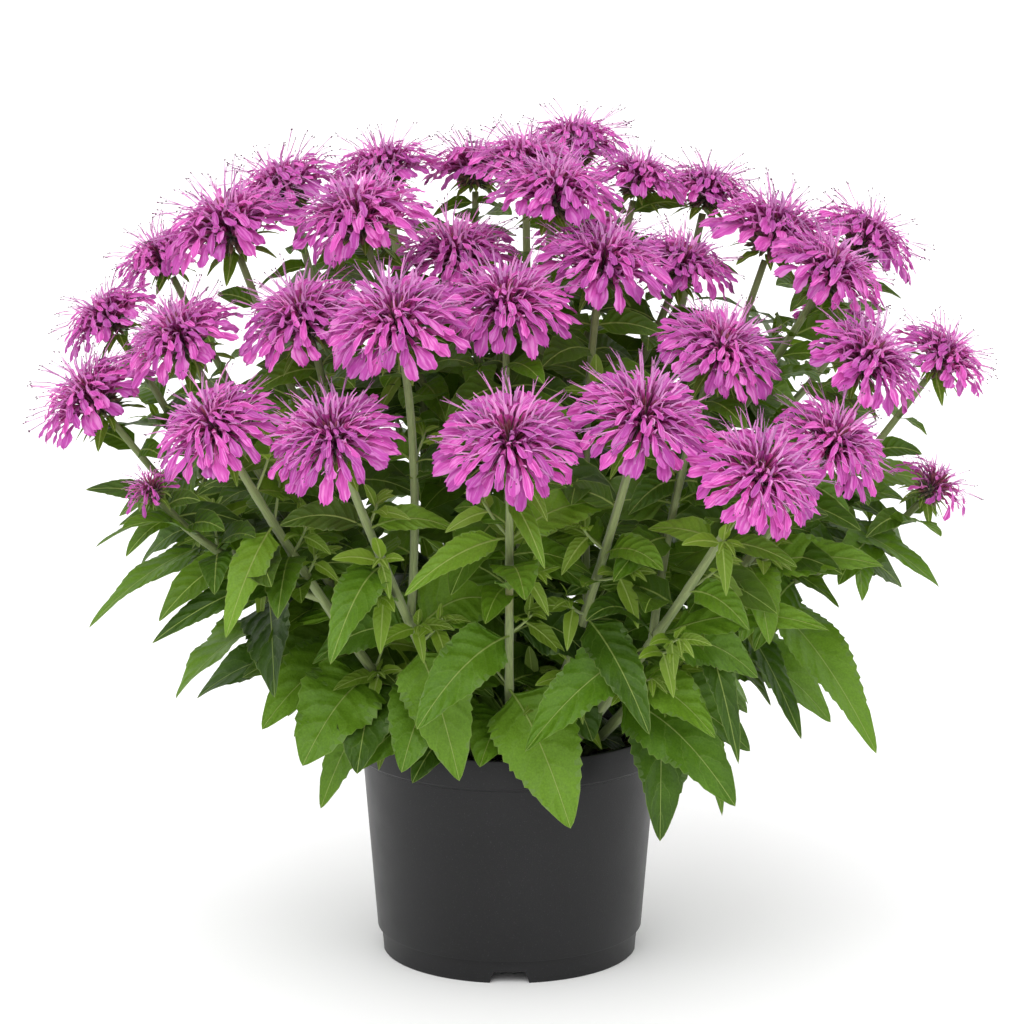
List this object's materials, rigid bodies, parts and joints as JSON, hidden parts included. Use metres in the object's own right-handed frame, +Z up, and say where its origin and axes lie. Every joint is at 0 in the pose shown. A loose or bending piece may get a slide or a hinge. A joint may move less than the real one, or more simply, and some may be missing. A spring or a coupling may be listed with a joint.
{
  "type": "potted bee balm",
  "caption": "Bee balm in a black plastic nursery pot: leafy square stems that fork upwards and end in whorled magenta flower heads.",
  "frame": {"origin": "centre of the pot's foot, on the ground it stands on", "axes": "+Z up along the pot's axis, -Y towards the front of the plant, +X to its right"},
  "size_m": [0.512, 0.4797, 0.4665],
  "materials": {
    "pot_plastic": "satin black, faintly speckled",
    "potting_mix": "damp dark crumbs of peat and bark",
    "foliage": "soft satin green",
    "petals": "soft matt magenta pink"
  },
  "bodies": {
    "root": {"pot": "pot_plastic", "soil": "potting_mix", "stem_01": "foliage", "stem_02": "foliage", "stem_03": "foliage", "stem_04": "foliage", "stem_05": "foliage", "stem_06": "foliage", "stem_07": "foliage", "stem_08": "foliage", "stem_09": "foliage", "stem_10": "foliage", "stem_11": "foliage", "stem_12": "foliage", "stem_13": "foliage", "stem_14": "foliage", "stem_15": "foliage", "stem_16": "foliage", "stem_17": "foliage", "bloom_01": "petals", "bloom_02": "petals", "bloom_03": "petals", "bloom_04": "petals", "bloom_05": "petals", "bloom_06": "petals", "bloom_07": "petals", "bloom_08": "petals", "bloom_09": "petals", "bloom_10": "petals", "bloom_11": "petals", "bloom_12": "petals", "bloom_13": "petals", "bloom_14": "petals", "bloom_15": "petals", "bloom_16": "petals", "bloom_17": "petals", "bloom_18": "petals", "bloom_19": "petals", "bloom_20": "petals", "bloom_21": "petals", "bloom_22": "petals", "bloom_23": "petals", "bloom_24": "petals", "bloom_25": "petals", "bloom_26": "petals", "bloom_27": "petals", "bloom_28": "petals", "bloom_29": "petals", "bloom_30": "petals", "bloom_31": "petals", "bloom_32": "petals", "bloom_33": "petals", "bloom_34": "petals", "bloom_35": "petals", "bloom_36": "petals", "bloom_37": "petals", "bloom_38": "petals", "bloom_39": "petals", "bloom_40": "petals", "bloom_41": "petals"}
  },
  "joints": []
}
